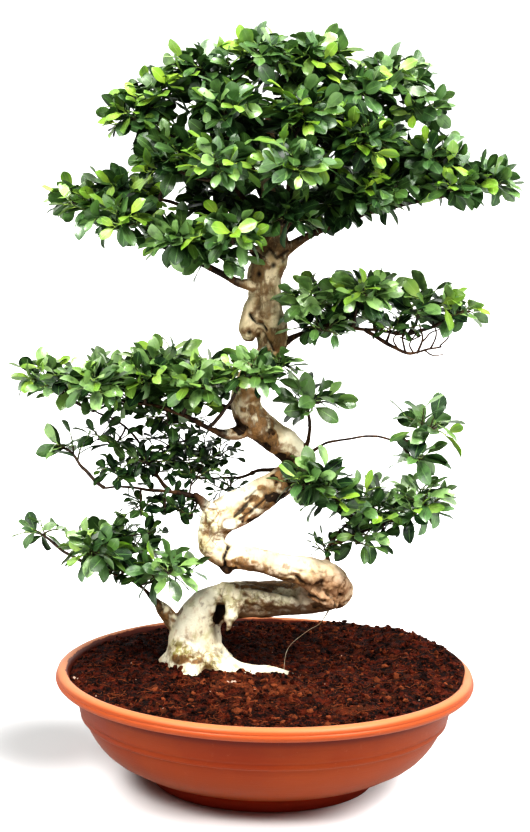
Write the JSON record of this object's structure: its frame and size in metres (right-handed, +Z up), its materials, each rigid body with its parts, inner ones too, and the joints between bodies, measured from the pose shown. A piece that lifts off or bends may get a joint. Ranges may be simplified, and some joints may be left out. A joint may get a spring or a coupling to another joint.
{
  "type": "ficus bonsai in a bowl",
  "caption": "Indoor ficus bonsai with an S-shaped trunk and leafy pads, planted in a wide round clay-coloured bowl.",
  "frame": {"origin": "middle of the bowl's flat underside, on the surface it stands on", "axes": "+Z up along the bowl's axis, +X to the right of the front view, +Y away from the front"},
  "size_m": [0.5453, 0.451, 0.8009],
  "materials": {
    "pot": "clay-coloured moulded plastic, softly glossy, paler along the rolled rim",
    "soil": "dark red-brown peat with coarse crumbs, fibres and a few pale grains",
    "bark": "smooth pale grey-tan bark with brown and greenish blotches and pruning scars",
    "leaf": "glossy dark green leaves with lighter ribs, and yellow-green young tips"
  },
  "bodies": {
    "root": {"pot": "pot", "soil": "soil", "trunk": "bark", "spray_crown_far_left": "leaf", "spray_crown_left_front": "leaf", "spray_crown_left_back": "leaf", "spray_crown_low_front_left": "leaf", "spray_crown_low_front": "leaf", "spray_crown_shoulder_left": "leaf", "spray_crown_middle_left_front": "leaf", "spray_crown_middle_left_back": "leaf", "spray_crown_front_left": "leaf", "spray_crown_top_left": "leaf", "spray_crown_top_front": "leaf", "spray_crown_top_right": "leaf", "spray_crown_far_top_right": "leaf", "spray_crown_upper_front_left": "leaf", "spray_crown_upper_front_right": "leaf", "spray_crown_upper_back_left": "leaf", "spray_crown_upper_back_right": "leaf", "spray_crown_front_right": "leaf", "spray_crown_middle_right_front": "leaf", "spray_crown_middle_right_back": "leaf", "spray_crown_low_right_front": "leaf", "spray_crown_right_front": "leaf", "spray_crown_right_back": "leaf", "spray_crown_far_right": "leaf", "spray_crown_back_left": "leaf", "spray_crown_back": "leaf", "spray_crown_back_right": "leaf", "spray_left_pad_tip": "leaf", "spray_left_pad_front": "leaf", "spray_left_pad_back": "leaf", "spray_left_pad_middle": "leaf", "spray_left_pad_inner_front": "leaf", "spray_left_pad_inner_back": "leaf", "spray_left_pad_at_trunk": "leaf", "spray_middle_left_tip": "leaf", "spray_middle_left_front": "leaf", "spray_middle_left_back": "leaf", "spray_middle_left_low": "leaf", "spray_low_left_tip": "leaf", "spray_low_left_front": "leaf", "spray_low_left_back": "leaf", "spray_low_left_inner": "leaf", "spray_right_pad_inner": "leaf", "spray_right_pad_front": "leaf", "spray_right_pad_back": "leaf", "spray_right_pad_outer": "leaf", "spray_right_sprig_upper": "leaf", "spray_right_sprig_far": "leaf", "spray_bend_shoot": "leaf", "spray_low_right_inner": "leaf", "spray_low_right_under": "leaf", "spray_low_right_back": "leaf", "spray_low_right_outer": "leaf"}
  },
  "joints": []
}
